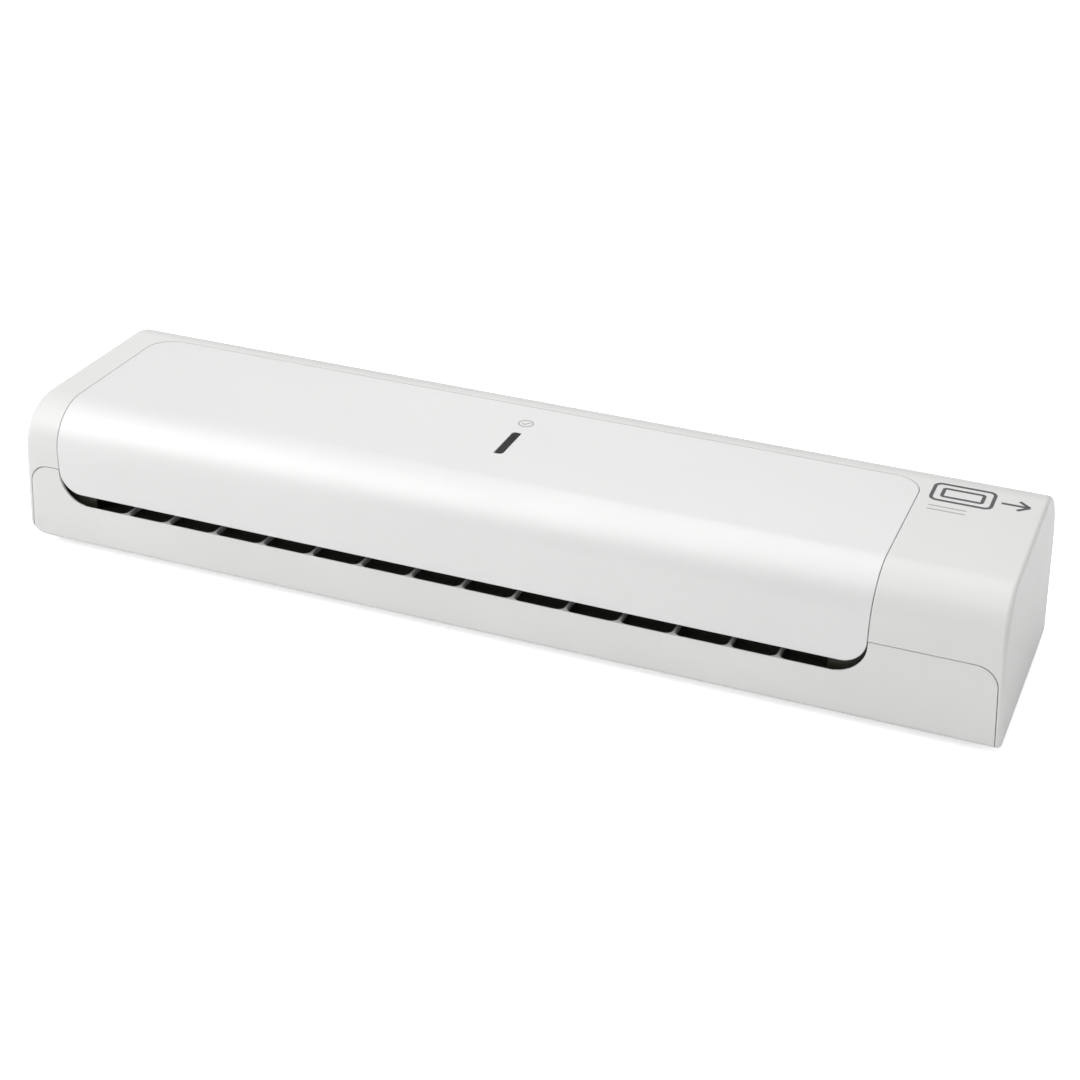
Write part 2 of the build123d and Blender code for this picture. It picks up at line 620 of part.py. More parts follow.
LOWER_PHASE = 0.0
UPPER_PHASE = tooth_phase(LOWER_PHASE, ROLLER_TEETH, ROLLER_TEETH, pi / 2)
IDLER_DIRECTION = atan2(IDLER_Z - LOWER_Z, IDLER_Y - ROLLER_Y)
IDLER_PHASE = tooth_phase(LOWER_PHASE, ROLLER_TEETH, IDLER_TEETH, IDLER_DIRECTION)
PINION_PHASE = tooth_phase(IDLER_PHASE, IDLER_TEETH, PINION_TEETH, pi / 2)


# ================================================================ drive motor
def make_idler_pin():
    pin = rod_x(FRAME_X["right"] - 1.6, 119.6, IDLER_Y, IDLER_Z, 2.0)
    head = rod_x(119.2, 120.2, IDLER_Y, IDLER_Z, 3.0)
    return pin + head


def make_motor_bracket():
    face = outline([(-19, 8.4), (30, 8.4), (30, 43.5), (-19, 43.5)])
    face = rounded(face, [(-19, 8.4), (30, 8.4), (30, 43.5), (-19, 43.5)], 3)
    plate = prism_x(face, *BRACKET_X)
    plate -= rod_x(120, 124, PINION_Y, PINION_Z, 4.5)
    for y, z in STANDOFFS:
        plate -= rod_x(120, 124, y, z, 1.7)
    for y, z in motor_ears():
        plate -= rod_x(120, 124, y, z, 1.25)
    return plate


def motor_ears():
    return [(MOTOR_Y - 20.5, MOTOR_Z - 2.0), (MOTOR_Y + 20.5, MOTOR_Z - 2.0)]


def make_motor_standoffs():
    posts = []
    for y, z in STANDOFFS:
        post = rod_x(FRAME_X["right"] + FRAME_THICKNESS / 2, BRACKET_X[0], y, z, 2.6)
        posts.append(post - rod_x(100, BRACKET_X[0] + 1, y, z, 1.25))
    return group(*posts)


def make_motor_gearbox():
    back = BRACKET_X[1] + 8.0
    body = rod_x(BRACKET_X[1], back, MOTOR_Y, MOTOR_Z, 18.0)
    for y, z in motor_ears():
        body += rod_x(BRACKET_X[1], BRACKET_X[1] + 1.4, y, z, 3.4)
        body += box(BRACKET_X[1], BRACKET_X[1] + 1.4, min(y, MOTOR_Y), max(y, MOTOR_Y), z - 3.4, z + 3.4)
    for y, z in motor_ears():
        body -= rod_x(120, 126, y, z, 1.7)
    return body - rod_x(120, 125.5, PINION_Y, PINION_Z, 2.5 + RUNNING_GAP)


def make_motor_can():
    front = BRACKET_X[1] + 8.0
    can = rod_x(front, front + 13.5, MOTOR_Y, MOTOR_Z, 17.2)
    can = fillet(can.edges().sort_by(Axis.X)[-1], 1.5)
    return can + rod_x(front + 13, front + 15.5, MOTOR_Y, MOTOR_Z, 3.5)


def make_motor_shaft():
    return rod_x(112.0, 125.3, PINION_Y, PINION_Z, 2.5)


def screw_x(x, direction, y, z, length, radius, head_radius):
    """Pan-head screw along X, its head's underside at x and its shank running along direction."""
    shank = rod_x(x, x + direction * length, y, z, radius)
    head = rod_x(x - direction * 1.6, x, y, z, head_radius)
    slot_x = x - direction * 1.6
    recess = box(slot_x, slot_x + direction * 0.9, y - 1.5, y + 1.5, z - 0.35, z + 0.35)
    recess += box(slot_x, slot_x + direction * 0.9, y - 0.35, y + 0.35, z - 1.5, z + 1.5)
    return shank + head - recess


def screw_z(x, y, z, direction, length, radius, head_radius):
    """Pan-head screw along Z, its head's underside at z and its shank running along direction."""
    shank = rod_z(z, z + direction * length, x, y, radius)
    head = rod_z(z - direction * 1.6, z, x, y, head_radius)
    slot_z = z - direction * 1.6
    recess = box(x - 1.5, x + 1.5, y - 0.35, y + 0.35, slot_z, slot_z + direction * 0.9)
    recess += box(x - 0.35, x + 0.35, y - 1.5, y + 1.5, slot_z, slot_z + direction * 0.9)
    return shank + head - recess


def make_motor_screws():
    x = BRACKET_X[1] + 1.4
    return group(*[screw_x(x, -1, y, z, 2.6, 1.2, 2.6) for y, z in motor_ears()])


def make_bracket_screws():
    return group(*[screw_x(BRACKET_X[1], -1, y, z, 6.0, 1.2, 2.6) for y, z in STANDOFFS])


# ================================================================ release mechanism
def make_release_shaft():
    return rod_x(LEVER_X - 3.5, FRAME_X["right"] + 1.4, RELEASE_Y, RELEASE_Z, RELEASE_RADIUS)


def make_release_toes():
    """Cams fixed to the shaft, each with a toe resting just under a bearing block's ear."""
    toe_top = EAR_Z[0] - TOE_GAP
    toes = []
    for side, x in FRAME_X.items():
        x0, x1 = x + INWARD[side] * 1.2, x + INWARD[side] * 4.2
        toe = box(x0, x1, RELEASE_Y - 6.0, RELEASE_Y + 1.5, toe_top - 2.4, toe_top)
        toe = fillet(toe.edges().filter_by(Axis.X).sort_by(Axis.Y)[:2], 0.6)
        web = box(x0, x1, RELEASE_Y - 1.5, RELEASE_Y + 1.5, toe_top - 1.0, RELEASE_Z)
        collar = rod_x(x0, x1, RELEASE_Y, RELEASE_Z, 4.0)
        toes.append(toe + web + collar - rod_x(x0, x1, RELEASE_Y, RELEASE_Z, RELEASE_RADIUS))
    return group(*toes)


def make_release_lever():
    """Lever on the shaft's free end, with a thumb knob outside the rear wall."""
    x0, x1 = LEVER_X - 2.0, LEVER_X + 2.0
    lever = rod_x(x0, x1, RELEASE_Y, RELEASE_Z, 5.0)
    lever += box(x0, x1, RELEASE_Y, 44.0, RELEASE_Z - 2.1, RELEASE_Z + 2.1)
    knob = box(LEVER_X - 5.5, LEVER_X + 5.5, 43.6, 50.0, RELEASE_Z - 2.6, RELEASE_Z + 2.6)
    knob = fillet(knob.edges(), 1.1)
    return lever + knob - rod_x(x0 - 1, x1 + 1, RELEASE_Y, RELEASE_Z, RELEASE_RADIUS)


# ================================================================ switch, boards and wiring
def switch_place():
    """Frame on the outer rear wall: local Z points out of the wall, local X along the length."""
    lean = degrees(atan(REAR_SLOPE))
    return Pos(SWITCH_X, rear_wall_y(SWITCH_Z), SWITCH_Z) * Rot(-90 - lean, 0, 0)


def make_switch_body():
    body = box(-9.4, 9.4, -6.2, 6.2, -13, 0)
    bezel = fillet(box(-10.8, 10.8, -7.6, 7.6, 0.02, 1.8).edges().group_by(Axis.Z)[-1], 0.7)
    neck = box(-9.4, 9.4, -6.2, 6.2, -1, 1.0)
    well = box(-8.4, 8.4, -5.2, 5.2, -4.5, 3)
    sockets = rod_y(-5.9, 5.9, 0, -1.0, PIVOT_RADIUS + RUNNING_GAP)
    return switch_place() * (body + neck + bezel - well - sockets)


def make_power_rocker():
    """Rocker drawn level, then tipped to its off side about its pivot."""
    pivot_z = -1.0
    top = [(-8.0, 2.6), (0, 1.5), (8.0, 2.6)]
    face = outline([*top, (7.4, -0.6), (2.5, -3.0), (-2.5, -3.0), (-7.4, -0.6)])
    rocker = extrude(Plane.XZ.offset(-4.9) * face, 9.8)
    rocker = fillet(rocker.edges().filter_by(Axis.Y).group_by(Axis.Z)[-1], 0.5)
    rocker += rod_y(-5.8, 5.8, 0, pivot_z, PIVOT_RADIUS)
    tip = Pos(0, 0, pivot_z) * Rot(0, ROCKER_TIP, 0) * Pos(0, 0, -pivot_z)
    return switch_place() * tip * rocker


def make_switch_terminals():
    blades = [box(x - 0.4, x + 0.4, -2.4, 2.4, -19, -13) for x in (-5.5, 5.5)]
    return switch_place() * group(*blades)


def make_control_board():
    board = box(BOARD[0], BOARD[1], BOARD[2], BOARD[3], *BOARD_Z)
    for x, y in board_screw_places():
        board -= rod_z(0, 20, x, y, 1.3)
    return board


def make_board_screws():
    return group(*[screw_z(x, y, BOARD_Z[1], -1, 4.5, 0.98, 2.2) for x, y in board_screw_places()])


def make_board_parts():
    """Suppression capacitor, smoothing capacitor, relay and a row of resistors."""
    z = BOARD_Z[1]
    film = fillet(box(124.5, 138.0, -35.2, -29.2, z, z + 10.5).edges(), 0.6)
    relay = fillet(box(129.5, 140.0, -28.4, -20.2, z, z + 9.5).edges().filter_by(Axis.Z), 0.8)
    smoothing = fillet(rod_z(z, z + 11, 142.2, -31.6, 3.0).edges().sort_by(Axis.Z)[-1], 0.6)
    resistors = [rod_y(-27, -20.5, x, z + 1.3, 1.2) for x in (122.5, 126.0)]
    return group(film, relay, smoothing, *resistors)


def make_terminal_block():
    """Mains terminal block on the housing floor behind the board."""
    block = box(126, 146, -17.4, -9.4, FLOOR_Z, 7.6)
    for x in (129.5, 136, 142.5):
        block -= rod_z(6.2, 9, x, -13.4, 1.5)
    return block


def make_led_board():
    y = (LENS_Y[0] + LENS_Y[1]) / 2
    return box(LENS_X - 11, LENS_X + 11, y - 5, y + 5, 44.4, 45.6)


def make_ready_led():
    y = (LENS_Y[0] + LENS_Y[1]) / 2
    return fillet(rod_z(45.6, 47.4, LENS_X, y, 1.5).edges().sort_by(Axis.Z)[-1], 1.2)


def lead(points, radius=0.8):
    """One insulated wire through the given points."""
    path = Spline(*points)
    return sweep(Plane(origin=path @ 0, z_dir=path % 0) * Circle(radius), path=path)


def make_internal_leads():
    """Switch, motor, mains, heater and indicator wiring."""
    switch_live = [(130.5, 19.7, 16.0), (130.2, 19.0, 11.5), (127.0, 16.5, 7.2), (127.5, 4.0, 6.5),
                   (129.5, -8.9, 6.4)]
    switch_out = [(141.5, 19.7, 16.0), (142.3, 19.0, 11.5), (145.0, 15.0, 7.2), (143.5, 4.0, 6.5),
                  (142.5, -8.9, 6.4)]
    mains_live = [(120.4, 30.9, 10.5), (124.5, 29.5, 8.4), (134.0, 14.0, 7.0), (136.0, 2.0, 6.5),
                  (136.0, -8.9, 6.4)]
    mains_neutral = [(118.6, 31.0, 9.4), (120.2, 26.0, 6.8), (121.5, 14.0, 6.4), (122.5, 0.0, 6.4),
                     (123.0, -9.0, 6.4), (125.6, -12.6, 6.4)]
    motor = [(144.3, 12.0, 30.0), (148.0, 8.0, 31.0), (150.5, -6.0, 28.0), (150.0, -18.0, 18.0),
             (146.9, -26.0, 10.9)]
    indicator = [(120.5, -26.0, 11.0), (113.5, -29.5, 24.0), (100.0, -30.5, 34.0), (60.0, -30.5, 38.0),
                 (12.0, -27.0, 40.5), (-3.0, -17.0, 43.0), (-4.6, -9.4, 43.5)]
    heater_out = [(84.4, -2.0, 41.9), (92.0, -5.0, 44.6), (106.0, -14.0, 46.2), (118.0, -22.0, 42.0),
                  (124.0, -27.0, 26.0), (124.3, -28.2, 10.9)]
    heater_back = [(-126.0, -2.0, 42.2), (-128.0, 4.0, 44.0), (-120.0, 19.0, 45.6), (-60.0, 22.0, 45.6),
                   (0.0, 22.0, 45.6), (60.0, 22.0, 45.6), (108.0, 20.0, 46.2), (128.0, 8.0, 47.0),
                   (144.0, -8.0, 45.0), (149.0, -18.0, 30.0), (147.4, -23.0, 11.0)]
    power = [switch_live, switch_out, mains_live, mains_neutral, motor, heater_out, heater_back]
    return group(*[lead(points) for points in power], lead(indicator, 0.6))


# ================================================================ feet and housing screws
def make_rubber_feet():
    feet = []
    for x, y in FEET:
        foot = rod_z(0, 3.3, x, y, 5.9)
        feet.append(fillet(foot.edges().sort_by(Axis.Z)[0], 0.7))
    return group(*feet)


def make_cover_screws():
    return group(*[screw_z(x, y, 3.5, 1, 9.0, 1.2, 2.8) for x, y in COVER_SCREWS])


def make_frame_screws():
    return group(*[screw_z(x, y, 10.2, -1, 4.8, 1.2, 2.6) for x, y in frame_screw_places()])


# ================================================================ mains cord
def cord_corners():
    """Corners of the cord's run: out of the boot, two and a half turns of the hank, then the plug."""
    near, far = HANK_Y
    corners = [(CORD_X, 32.0, CORD_Z), (CORD_X, near, CORD_Z), (CORD_X - 26, far, HANK_Z)]
    for layer in (0, 1):
        z = HANK_Z + HANK_LAYER * layer
        corners += [(HANK_X[0], far, z), (HANK_X[0], near, z)]
        corners += [(HANK_X[1], near, z), (HANK_X[1], far, z + HANK_LAYER)]
    top = HANK_Z + 2 * HANK_LAYER
    return corners + [(-42.0, far, top), (PLUG_X + 14, PLUG_Y, PLUG_Z), (PLUG_X - 6, PLUG_Y, PLUG_Z)]


def make_power_cord():
    path = FilletPolyline(*cord_corners(), radius=BEND_RADIUS)
    return sweep(Plane(origin=path @ 0, z_dir=path % 0) * Circle(CORD_RADIUS), path=path)


def make_strain_relief():
    """Moulded boot with a gripping collar inside the rear wall."""
    wall_y = rear_wall_y(CORD_Z)
    boot = Pos(CORD_X, wall_y + 0.8, CORD_Z) * Rot(-90, 0, 0) * Cone(
        5.6, 3.9, 15.0, align=(Align.CENTER, Align.CENTER, Align.MIN))
    for i in range(4):
        y = wall_y + 4.5 + 2.8 * i
        boot -= rod_y(y, y + 1.1, CORD_X, CORD_Z, 8) - rod_y(y - 1, y + 2, CORD_X, CORD_Z, 3.6)
    boot += rod_y(wall_y - WALL - 3.2, wall_y + 1.5, CORD_X, CORD_Z, 4.2)
    boot += rod_y(wall_y - WALL - 3.6, wall_y - WALL - 0.8, CORD_X, CORD_Z, 5.6)
    return boot - rod_y(20, 80, CORD_X, CORD_Z, CORD_RADIUS)


def make_plug_body():
    """Flat two-pin plug lying on the table, pins towards -X."""
    grip = [(PLUG_X, 4.4), (PLUG_X - 12, 5.2), (PLUG_X - 22, 8.6), (PLUG_X - 36, 12.8)]
    sketch = [Plane(origin=(x, PLUG_Y, PLUG_Z), x_dir=(0, 1, 0), z_dir=(-1, 0, 0))
              * RectangleRounded(2 * half, 9.2, 4.0) for x, half in grip]
    body = loft(sketch)
    cord_room = rod_x(PLUG_X - 6, PLUG_X + 4, PLUG_Y, PLUG_Z, CORD_RADIUS + 0.02)
    return body - cord_room


def make_plug_pins():
    root, reach = PLUG_X - 36, 19.0
    pins = []
    for side in (-1, 1):
        pin = rod_x(root - reach, root, PLUG_Y + side * PIN_SPACING / 2, PLUG_Z, PIN_RADIUS)
        pins.append(fillet(pin.edges().sort_by(Axis.X)[0], 1.2))
    return group(*pins)


def make_cord_tie():
    """Strap round the middle of the hank."""
    def loop(grow):
        near, far = HANK_Y[0] - CORD_RADIUS - grow, HANK_Y[1] + CORD_RADIUS + grow
        low = HANK_Z - CORD_RADIUS - grow
        shoulder = HANK_Z + HANK_LAYER + CORD_RADIUS + grow
        top = shoulder + HANK_LAYER
        ridge = HANK_Y[1] - 4.0
        points = [(near, low), (far, low), (far, top), (ridge, top), (near, shoulder)]
        return rounded(outline(points), points, 2.0)

    middle = (HANK_X[0] + HANK_X[1]) / 2
    return prism_x(loop(0.7) - loop(0.05), middle - 5, middle + 5)


# ================================================================ node list
def all_nodes():
    return {
        "upper_cover": make_upper_cover(),
        "top_panel": make_top_panel(),
        "lower_housing": make_lower_housing(),
        "indicator_lens": make_indicator_lens(),
        "lower_feed_guide": make_lower_feed_guide(),
        "upper_feed_guide": make_upper_feed_guide(),
        "lower_exit_guide": make_lower_exit_guide(),
        "upper_exit_guide": make_upper_exit_guide(),
        "left_side_frame": make_side_frame("left"),
        "right_side_frame": make_side_frame("right"),
        "lower_bearing_bushes": make_lower_bushes(),
        "left_bearing_block": make_bearing_block("left"),
        "right_bearing_block": make_bearing_block("right"),
        "pressure_springs": make_pressure_springs(),
        "lower_roller_shaft": make_roller_shaft(LOWER_Z),
        "lower_roller_sleeve": make_roller_sleeve(LOWER_Z),
        "lower_shaft_clips": make_shaft_clips(LOWER_Z, FRAME_X["left"] - 2.5),
        "upper_roller_shaft": make_roller_shaft(UPPER_Z),
        "upper_roller_sleeve": make_roller_sleeve(UPPER_Z),
        "upper_shaft_clips": make_shaft_clips(UPPER_Z, FRAME_X["left"] - 3.4),
        "upper_heater_shoe": make_upper_heater_shoe(),
        "lower_heater_shoe": make_lower_heater_shoe(),
        "upper_heater_strip": make_upper_heater_strip(),
        "lower_heater_strips": make_lower_heater_strips(),
        "thermostat": make_thermostat(),
        "thermal_fuse": make_thermal_fuse(),
        "lower_roller_gear": gear(ROLLER_TEETH, LOWER_PHASE, ROLLER_Y, LOWER_Z, JOURNAL_RADIUS),
        "upper_roller_gear": gear(ROLLER_TEETH, UPPER_PHASE, ROLLER_Y, UPPER_Z, JOURNAL_RADIUS),
        "idler_gear": gear(IDLER_TEETH, IDLER_PHASE, IDLER_Y, IDLER_Z, 2.0 + RUNNING_GAP),
        "motor_pinion": gear(PINION_TEETH, PINION_PHASE, PINION_Y, PINION_Z, 2.5),
        "idler_pin": make_idler_pin(),
        "motor_shaft": make_motor_shaft(),
        "motor_gearbox": make_motor_gearbox(),
        "motor_can": make_motor_can(),
        "motor_bracket": make_motor_bracket(),
        "motor_standoffs": make_motor_standoffs(),
        "motor_screws": make_motor_screws(),
        "bracket_screws": make_bracket_screws(),
        "release_shaft": make_release_shaft(),
        "release_toes": make_release_toes(),
        "release_lever": make_release_lever(),
        "switch_body": make_switch_body(),
        "power_rocker": make_power_rocker(),
        "switch_terminals": make_switch_terminals(),
        "control_board": make_control_board(),
        "board_components": make_board_parts(),
        "board_screws": make_board_screws(),
        "terminal_block": make_terminal_block(),
        "led_board": make_led_board(),
        "ready_led": make_ready_led(),
        "internal_leads": make_internal_leads(),
        "rubber_feet": make_rubber_feet(),
        "cover_screws": make_cover_screws(),
        "frame_screws": make_frame_screws(),
        "power_cord": make_power_cord(),
        "strain_relief": make_strain_relief(),
        "plug_body": make_plug_body(),
        "plug_pins": make_plug_pins(),
        "cord_tie": make_cord_tie(),
    }


os.makedirs("parts", exist_ok=True)
for name, shape in all_nodes().items():
    export_step(Pos(0, -MIDDLE_Y, 0) * shape, f"parts/{name}.step")
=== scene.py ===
"""Looks for the pouch laminator: materials, small printed marks, light, floor and camera.

Metres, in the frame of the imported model: +X towards the drive end, +Y towards the rear, +Z up.
"""
import json
from math import atan, cos, pi, radians, sin

import bmesh
import bpy
from mathutils import Matrix, Vector
from mathutils.bvhtree import BVHTree


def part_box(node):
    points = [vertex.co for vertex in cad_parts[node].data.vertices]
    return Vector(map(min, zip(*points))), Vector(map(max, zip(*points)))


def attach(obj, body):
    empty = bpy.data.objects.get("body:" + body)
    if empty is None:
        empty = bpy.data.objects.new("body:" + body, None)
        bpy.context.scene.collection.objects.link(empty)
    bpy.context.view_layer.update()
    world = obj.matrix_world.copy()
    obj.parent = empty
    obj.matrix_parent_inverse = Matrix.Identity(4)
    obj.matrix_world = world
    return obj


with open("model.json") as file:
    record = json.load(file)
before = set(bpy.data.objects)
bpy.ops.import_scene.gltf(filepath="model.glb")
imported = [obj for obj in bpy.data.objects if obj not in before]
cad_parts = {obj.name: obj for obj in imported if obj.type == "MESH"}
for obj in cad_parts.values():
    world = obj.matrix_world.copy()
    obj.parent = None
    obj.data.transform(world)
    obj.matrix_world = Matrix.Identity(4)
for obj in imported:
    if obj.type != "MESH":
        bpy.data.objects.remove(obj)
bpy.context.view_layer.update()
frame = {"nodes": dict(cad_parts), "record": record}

MM = 0.001

# ---------------------------------------------------------------- camera, in the photograph's view
CASING_Y = -0.02073       # middle of the casing; the model's origin lies behind it
CAMERA_PLACE = (0.2077, CASING_Y - 0.5439, 0.2985)
CAMERA_YAW = radians(20.479)
CAMERA_PITCH = radians(25.817)
CAMERA_ROLL = radians(2.503)
CAMERA_LENS = 67.49       # millimetres, as is the sensor
SENSOR = 36.0
CAMERA_CLIP = (0.01, 20.0)

# ---------------------------------------------------------------- power rocker on the rear wall
SWITCH_WALL = (CASING_Y + 0.039613, 0.0136)   # y and z of the switch's middle
WALL_SLOPE = 0.1273       # the rear wall's lean from upright
SWITCH_LEAN = atan(WALL_SLOPE)
ROCKER_TIP = 8.0          # degrees at rest
ROCKER_PIVOT = 1.0 * MM   # depth of its axis under the wall's face
ROCKER_FACE = 1.5 * MM    # height of its face at the middle
ROCKER_SLOPE = 1.1 / 8.0  # rise of each half towards its end
SWITCH_MARK_X = 4.6 * MM  # bar and ring, from the middle
SWITCH_BAR_HALF = 1.6 * MM
SWITCH_RING = 1.5 * MM

# ---------------------------------------------------------------- printed marks
INK_LIFT = 0.02 * MM      # gap under the ink, so that it doesn't flicker with the plastic
INK_THICKNESS = 0.03 * MM
BOLD_LINE = 1.1 * MM
FINE_LINE = 0.45 * MM
TICK_LINE = 0.42 * MM
CORNER_STEPS = 6

# X places are from the pictogram's own middle, and Y places from the pouch's front edge.
MARK_SHIFT = -2.5 * MM    # that middle, from the middle of the drive end's top
MARK_FRONT = 11.0 * MM    # that front edge, behind the casing's middle
POUCH_SIZE_Y = 11.0 * MM
POUCH_X = (-14 * MM, 4 * MM)
POUCH_CORNER = 2.0 * MM
PAGE_X = (-11 * MM, 1 * MM)
PAGE_Y = (2.8 * MM, 8.2 * MM)
PAGE_CORNER = 0.7 * MM
ARROW_X = (6.4 * MM, 14.6 * MM)
ARROW_TIP_X = 14.8 * MM
BARB_X = 11.4 * MM
BARB_Y = 3.0 * MM
RULE_X = (-13.6 * MM, -2.2 * MM)
RULE_Y = (6.4 * MM, 4.0 * MM)     # in front of the pouch's front edge

READY_BACK = 5.6 * MM     # ring's middle, behind the indicator window
READY_RING = 2.3 * MM

# ---------------------------------------------------------------- ground and light
FLOOR_HALF = 3.0
FLOOR_GLOW = 0.6          # backlight of the pale ground, seen by the camera only
SKY = 0.320
AIM_HEIGHT = 0.02
STUDIO_LIGHTS = (
    # name, place about the casing's middle, width and depth, watts
    ("overhead", (-0.15, 0.05, 1.10), (1.5, 0.9), 6.01),
    ("overhead_left", (-0.55, -0.15, 0.80), (0.5, 0.5), 0.58),
    ("front_top", (0.0, -0.75, 1.00), (1.6, 0.5), 0.56),
    ("front_top_left", (-0.7, -0.70, 0.90), (0.6, 0.6), 2.78),
    ("left_front", (-1.1, -0.80, 0.50), (0.8, 0.8), 5.09),
    ("right", (1.3, 0.10, 0.50), (0.8, 0.8), 2.17),
    ("rear_top", (0.0, 0.90, 0.90), (1.6, 0.5), 2.19),
)

# ---------------------------------------------------------------- shader nodes
MIX_FACTOR, MIX_A, MIX_B, MIX_RESULT = 0, 6, 7, 2     # sockets of the mix node for colours
BEVEL_SAMPLES = 4


# ================================================================ material nodes
class Nodes:
    """A material's node tree with short calls for the nodes used here."""

    def __init__(self, name):
        self.material = bpy.data.materials.new(name)
        self.material.use_nodes = True
        self.tree = self.material.node_tree
        self.shader = self.tree.nodes["Principled BSDF"]
        self.place = self.add("ShaderNodeTexCoord").outputs["Object"]

    def add(self, kind, **settings):
        node = self.tree.nodes.new(kind)
        for key, value in settings.items():
            setattr(node, key, value)
        return node

    def link(self, source, target):
        self.tree.links.new(source, target)

    def put(self, node, name, value):
        """Sets an input to a number or colour, or links another node's output to it."""
        if isinstance(value, bpy.types.NodeSocket):
            self.link(value, node.inputs[name])
        else:
            node.inputs[name].default_value = value

    def noise(self, size, detail=3.0, stretch=(1, 1, 1), distortion=0.0):
        """Noise from 0 to 1 whose features are about size metres across."""
        mapping = self.add("ShaderNodeMapping")
        self.link(self.place, mapping.inputs["Vector"])
        mapping.inputs["Scale"].default_value = stretch
        node = self.add("ShaderNodeTexNoise")
        self.link(mapping.outputs["Vector"], node.inputs["Vector"])
        node.inputs["Scale"].default_value = 1.0 / size
        node.inputs["Detail"].default_value = detail
        node.inputs["Distortion"].default_value = distortion
        return node.outputs["Fac"]

    def spread(self, value, low, high, start=0.3, stop=0.7):
        """Maps start..stop of a value to low..high."""
        node = self.add("ShaderNodeMapRange")
        self.link(value, node.inputs["Value"])
        ends = {"From Min": start, "From Max": stop, "To Min": low, "To Max": high}
        for name, number in ends.items():
            node.inputs[name].default_value = number
        return node.outputs["Result"]

    def vary(self, size, low, high, **noise):
        """Value that drifts between low and high over patches about size metres across."""
        return self.spread(self.noise(size, **noise), low, high)

    def blend(self, factor, first, second):
        node = self.add("ShaderNodeMix", data_type="RGBA")
        self.put(node, MIX_FACTOR, factor)
        self.put(node, MIX_A, first)
        self.put(node, MIX_B, second)
        return node.outputs[MIX_RESULT]

    def edges(self, radius):
        """Mask that is 1 on edges, and the rounded copy of the normal that it comes from."""
        bevel = self.add("ShaderNodeBevel", samples=BEVEL_SAMPLES)
        bevel.inputs["Radius"].default_value = radius
        geometry = self.add("ShaderNodeNewGeometry")
        dot = self.add("ShaderNodeVectorMath", operation="DOT_PRODUCT")
        self.link(bevel.outputs["Normal"], dot.inputs[0])
        self.link(geometry.outputs["Normal"], dot.inputs[1])
        mask = self.spread(dot.outputs["Value"], 1.0, 0.0, start=0.75, stop=0.98)
        return mask, bevel.outputs["Normal"]

    def relief(self, height, depth, strength, normal=None):
        """Bumps of a given depth in metres, on top of another normal if there is one."""
        node = self.add("ShaderNodeBump")
        self.link(height, node.inputs["Height"])
        node.inputs["Distance"].default_value = depth
        node.inputs["Strength"].default_value = strength
        if normal is not None:
            self.link(normal, node.inputs["Normal"])
        return node.outputs["Normal"]

    def finish(self, **inputs):
        """Sets the shader's inputs, with _ for a space in their names."""
        for name, value in inputs.items():
            self.put(self.shader, name.replace("_", " "), value)
        return self.material


def rgba(level, tint=(1, 1, 1)):
    return tuple(level * t for t in tint) + (1.0,)


def shade(colour, gain, offset=0.0):
    """A colour made darker or lighter."""
    return tuple(min(1.0, c * gain + offset) for c in colour[:3]) + (1.0,)


def moulded(name, colour, rough, grain_depth=0.00002, coat=0.0, edge_highlight=0.25):
    """Injection-moulded plastic: fine grain, slow colour drift, and edges made lighter as a
    painted highlight.
    """
    n = Nodes(name)
    edge_mask, rounded = n.edges(0.0004)
    drift = n.vary(0.06, 0.0, 1.0, detail=2.0)
    base = n.blend(drift, shade(colour, 0.955), colour)
    # Painted highlight: the colour is made lighter along every edge.
    painted_edge_highlight = n.add("ShaderNodeMath", operation="MULTIPLY")
    n.link(edge_mask, painted_edge_highlight.inputs[0])
    painted_edge_highlight.inputs[1].default_value = edge_highlight
    base = n.blend(painted_edge_highlight.outputs[0], base, shade(colour, 1.04, 0.01))
    grain = n.noise(0.0004, detail=4.0)
    normal = n.relief(grain, grain_depth, 0.35, rounded)
    smudge = n.vary(0.025, rough * 0.9, rough * 1.12, detail=4.0, distortion=0.6)
    return n.finish(Base_Color=base, Roughness=smudge, Normal=normal,
                    Coat_Weight=coat, Coat_Roughness=0.18)


def pearl(name, colour):
    """Pearl paint: mica flakes under a clear satin coat."""
    n = Nodes(name)
    edge_mask, rounded = n.edges(0.0005)
    flakes = n.add("ShaderNodeTexVoronoi")
    n.link(n.place, flakes.inputs["Vector"])
    flakes.inputs["Scale"].default_value = 1.0 / 0.00035
    glint = n.spread(flakes.outputs["Color"], 0.0, 1.0, start=0.2, stop=0.9)
    drift = n.vary(0.09, 0.0, 1.0, detail=2.0)
    base = n.blend(drift, shade(colour, 0.965), colour)
    # Painted highlight: the colour is made lighter along every edge.
    painted_rim = n.spread(edge_mask, 0.0, 0.2, start=0.0, stop=1.0)
    base = n.blend(painted_rim, base, rgba(0.97))
    normal = n.relief(glint, 0.000012, 0.22, rounded)
    rough = n.vary(0.03, 0.42, 0.48)
    metal = n.spread(glint, 0.08, 0.24, start=0.0, stop=1.0)
    return n.finish(Base_Color=base, Roughness=rough, Metallic=metal, Normal=normal,
                    Coat_Weight=0.22, Coat_Roughness=0.34)


def brushed(name, level, tint, rough, stretch):
    """Rolled, drawn or turned metal with fine lines along one direction."""
    n = Nodes(name)
    edge_mask, rounded = n.edges(0.0002)
    lines = n.noise(0.0006, stretch=stretch)
    stain = n.vary(0.012, 0.0, 1.0, detail=4.0, distortion=0.8)
    base = n.blend(stain, rgba(level * 0.82, tint), rgba(level, tint))
    # Painted highlight: the colour is made lighter along every edge.
    base = n.blend(edge_mask, base, rgba(min(1.0, level * 1.15), tint))
    roughness = n.spread(lines, rough * 0.8, rough * 1.25)
    normal = n.relief(lines, 0.00001, 0.3, rounded)
    return n.finish(Base_Color=base, Roughness=roughness, Metallic=1.0, Normal=normal)


